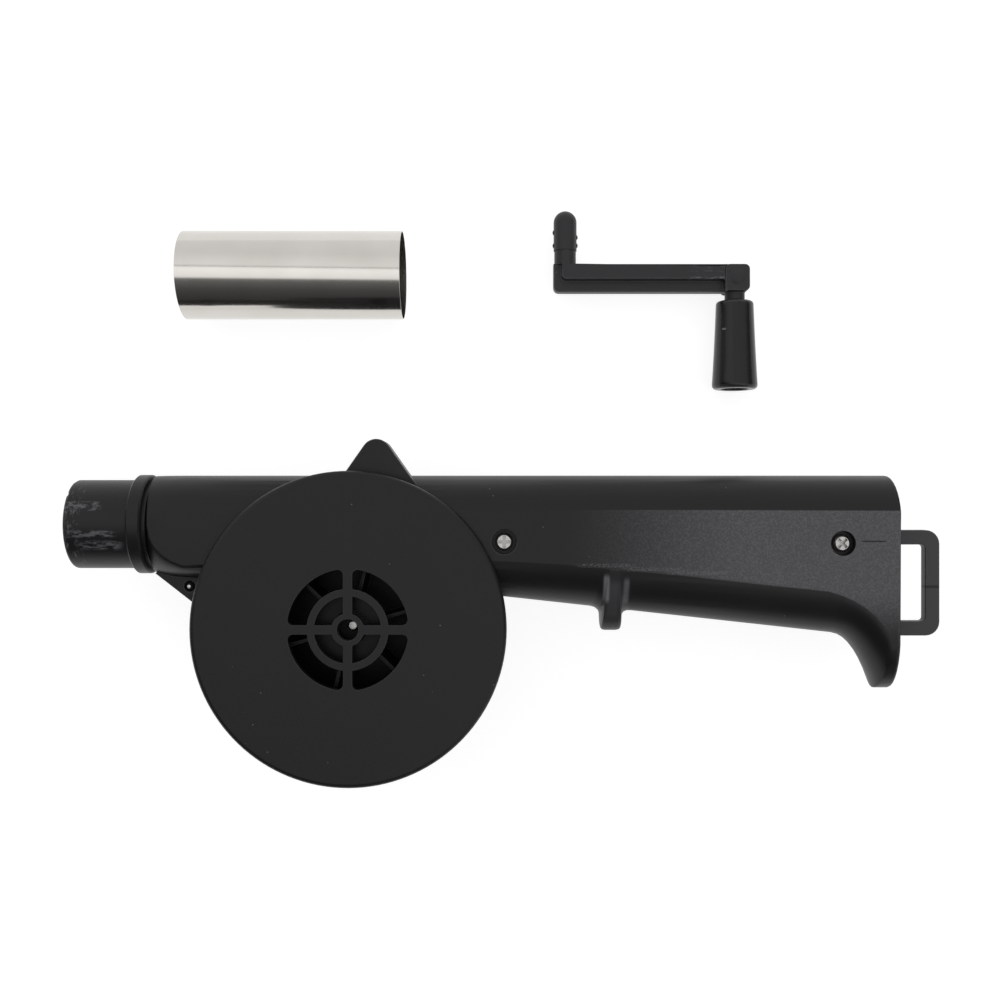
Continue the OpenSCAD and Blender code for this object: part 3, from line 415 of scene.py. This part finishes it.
# outlet spigot: scuffed along its length by the tube, with a rim that is chipped at the top
spigot = {"tipX": -75.8, "axis": (27.5, 26.0), "edgeMm": 0.3, "rimMm": 1.0,
          "chipMm": 0.35, "chipReachMm": 0.8, "chipDeg": (-10, 50), "chipWaves": 9}
spigotMarks = [
    {"low": (-74, 31.8, 30), "high": (-68, 33.2, 40), "softMm": (3, 0.8, 1), "colour": "#6c6b6f",
     "share": 0.6, "rougher": 0.2, "streakMm": (2.2, 0.8, 4), "streakCut": 0.45},
    {"low": (-74, 24.6, 30), "high": (-64, 25.6, 40), "softMm": (3, 0.7, 1), "colour": "#6c6b6f",
     "share": 0.6, "rougher": 0.2, "streakMm": (2.4, 0.8, 4), "streakCut": 0.45},
    {"low": (-70, 21.4, 28), "high": (-62, 22.8, 40), "softMm": (3, 0.9, 1), "colour": "#78777b",
     "share": 0.42, "rougher": 0.2, "streakMm": (2.6, 0.7, 4), "streakCut": 0.45},
    {"low": (-75.4, 15, 20), "high": (-72, 40, 40), "softMm": (1.5, 1, 1), "colour": "#6c6b6e",
     "share": 0.45, "rougher": 0.15, "streakMm": (0.6, 2.0, 2.0), "streakCut": 0.54}]
spigotPlastic = mouldedPlastic("polypropyleneBlackScuffed", satin, spigotMarks)
bm = mergedCopy("outlet_nozzle")
roundEdges(bm, spigot["edgeMm"], lambda p: p.x < spigot["tipX"] + spigot["rimMm"])
for vert in bm.verts:
    spot = vert.co / mm
    turn = math.degrees(math.atan2(spot.z - spigot["axis"][1], spot.y - spigot["axis"][0]))
    inArc = spigot["chipDeg"][0] < turn < spigot["chipDeg"][1]
    if inArc and spot.x < spigot["tipX"] + spigot["chipReachMm"]:
        wave = math.sin(math.radians(turn * spigot["chipWaves"]))
        vert.co.x += spigot["chipMm"] * mm * max(0, wave)
finishPiece(bm, "outletSpigot", spigotPlastic, "housing", "outlet_nozzle")

# hanging loop: greyer on its flat face, with a faint weld line across its outer bar
loop = {"edgeMm": 0.45}
loopMarks = [
    {"low": (150, -4, 27.7), "high": (161, 27, 27.9), "softMm": (4, 0.5, 0.1),
     "colour": "#434244", "share": 0.8, "rougher": 0.06},
    {"low": (155, 10.3, 20), "high": (161, 10.5, 32), "softMm": (0.5, 0.45, 0.5),
     "colour": "#0f0f10", "share": 0.8, "rougher": 0.1}]
loopPlastic = mouldedPlastic("polypropyleneBlackWelded", satin, loopMarks)
roundedPiece("hanging_loop", "hangingLoop", loop["edgeMm"], loopPlastic, "housing",
             clamp=False)

# screws: pan heads with a softened rim and painted shade in the cross recess, which is given by
# its axis and the heights of its floor and rim
screws = {"edgeMm": 0.15, "recessShadeShare": 0.3, "recessR": 1.8,
          "nodes": {"handle_screws": "handleScrews", "case_screws": "caseScrews"},
          "recess": [(41.1, 23.0, 35.5, 36.45), (130.9, 22.6, 35.5, 36.45),
                     (6.8, 45.5, 18.55, 19.5), (-44.2, 10.7, 20.55, 21.5)]}
for node, name in screws["nodes"].items():
    bm = mergedCopy(node)
    roundEdges(bm, screws["edgeMm"])
    recessShade = bm.faces.layers.float.new("recessShade")
    for face in bm.faces:
        centre = face.calc_center_median() / mm
        # the recess faces are darkened as painted shade
        for x, y, low, high in screws["recess"]:
            inside = math.hypot(centre.x - x, centre.y - y) < screws["recessR"]
            if inside and low < centre.z < high:
                face[recessShade] = screws["recessShadeShare"]
    finishPiece(bm, name, zincPlated, "housing", node)

# fan and its shaft, seen through the grille; the fan is painted a deeper black and less glossy
# than the body, as painted shade inside the drum
fan = {"edgeMm": 0.2, "shaftEdgeMm": 0.2}
fanShadedLook = dict(satin, dark="#0c0c0d", light="#111112", specular=0.15)
fanShadedPlastic = mouldedPlastic("polypropyleneBlackFanShaded", fanShadedLook)
roundedPiece("fan_impeller", "fanImpeller", fan["edgeMm"], fanShadedPlastic, "fan")
roundedPiece("fan_shaft", "fanShaft", fan["shaftEdgeMm"], zincPlated, "fan")

# drive gear, whose socket shows at the back; acetal is a milky, slightly waxy white
gear = {"edgeMm": 0.1}
acetal = {"dark": "#d5d2c8", "light": "#dfdcd3", "rough": 0.35, "roughSpread": 0.05, "ior": 1.49,
          "specular": 0.5, "grain": 0.1, "grainMm": 0.6, "grainDepthMm": 0.02, "patchMm": 18,
          "dustMm": 9, "dustSize": 0.05, "dustShow": 0.0, "dust": "#8d8b88", "wornAndHighlight": "#e8e6de",
          "edgeShow": 0.3}
gearWhite = mouldedPlastic("acetalWhiteMoulded", acetal)
roundedPiece("drive_gear", "driveGear", gear["edgeMm"], gearWhite, "drive")

# crank: one glass-filled moulding with edges painted paler for rub wear and as a painted
# highlight, scuffs near its pin and four ejector nubs on the shaft; the fine steps round the
# shaft's root stay sharp
crank = {"shaftX": 59.0, "shaftZ": 6.55, "shaftR": 3.35, "edgeMm": 0.35, "rootHalfX": 3.9,
         "rootY": (102.0, 107.2), "nubs": [(-1, 112.1), (-1, 108.3), (1, 110.7), (1, 108.3)],
         "nubMm": (0.5, 0.75, 0.9), "nubSinkMm": 0.15, "nubRings": (12, 8)}
crankLook = dict(satin, dark="#28282a", light="#2e2e30", rough=0.44, edgeShow=0.5)
crankMarks = [
    {"low": (95.5, 99.2, 10), "high": (103.5, 101.6, 11), "softMm": (2, 0.4, 0.3),
     "colour": "#67666a", "share": 0.35, "rougher": 0.1, "streakMm": (2.5, 0.5, 2),
     "streakCut": 0.52},
    {"low": (95.0, 97.6, 9), "high": (104.0, 98.4, 11), "softMm": (1.5, 0.3, 0.3),
     "colour": "#87868a", "share": 0.4, "rougher": 0.1, "streakMm": (1.8, 0.6, 2),
     "streakCut": 0.5}]
crankPlastic = mouldedPlastic("polyamideBlackMoulded", crankLook, crankMarks)


def crankEdge(p):
    inRoot = crank["rootY"][0] < p.y < crank["rootY"][1]
    return abs(p.x - crank["shaftX"]) > crank["rootHalfX"] or not inRoot


bm = mergedCopy("crank_arm")
roundEdges(bm, crank["edgeMm"], crankEdge, clamp=False)
for side, y in crank["nubs"]:
    nub = bmesh.ops.create_uvsphere(bm, u_segments=crank["nubRings"][0],
                                    v_segments=crank["nubRings"][1], radius=1.0)["verts"]
    bmesh.ops.scale(bm, vec=Vector(crank["nubMm"]) * mm, verts=nub)
    x = crank["shaftX"] + side * (crank["shaftR"] - crank["nubSinkMm"])
    bmesh.ops.translate(bm, vec=Vector((x, y, crank["shaftZ"])) * mm, verts=nub)
finishPiece(bm, "crankArm", crankPlastic, "crank", "crank_arm")

# grip: polished moulding that turns on the pin, with one small nick
grip = {"edgeMm": 0.5}
glossLook = dict(satin, dark="#0f0f10", light="#131314", rough=0.26, grain=0.05, grainMm=1.2,
                 grainDepthMm=0.03, patchMm=15, specular=0.33)
gripMarks = [{"low": (104.3, 83.3, 7), "high": (104.9, 83.6, 14), "softMm": (0.3, 0.2, 0.5),
              "colour": "#77767a", "share": 0.7, "rougher": 0.2}]
glossBlack = mouldedPlastic("absBlackGloss", glossLook, gripMarks)
roundedPiece("crank_grip", "crankGrip", grip["edgeMm"], glossBlack, "grip")
roundedPiece("grip_screw", "gripScrew", screws["edgeMm"], zincPlated, "crank")

# blow tube: thin stainless tube, polished, with fine lines round it
tube = {"edgeMm": 0.05}
stainless = finishedMetal("stainlessSteelPolished", {
    "dark": "#c9c5bf", "light": "#d6d3ce", "rough": 0.13, "lineMm": (0.5, 6.4, 6.4),
    "patchMm": 12, "bump": 0.12, "depthMm": 0.02, "recessShade": "#6d6a66"})
roundedPiece("steel_tube", "steelTube", tube["edgeMm"], stainless, "tube")

# pieces that stay hidden keep their CAD mesh; sintered bronze is a dull, porous brown
sinteredBronze = finishedMetal("bronzeSintered", {
    "dark": "#9c7a4a", "light": "#b08d5a", "rough": 0.45, "lineMm": (0.4, 0.4, 0.4),
    "patchMm": 3, "bump": 0.3, "depthMm": 0.05, "recessShade": "#3a2c1a"})
inner = {"gear_plate": satinBlack, "plate_screws": zincPlated, "idler_axle": zincPlated,
         "fan_bush": sinteredBronze, "idler_gear": gearWhite, "fan_pinion": gearWhite}
for node, material in inner.items():
    nodes[node].data.materials.clear()
    nodes[node].data.materials.append(material)
print("inner pieces:", len(inner))
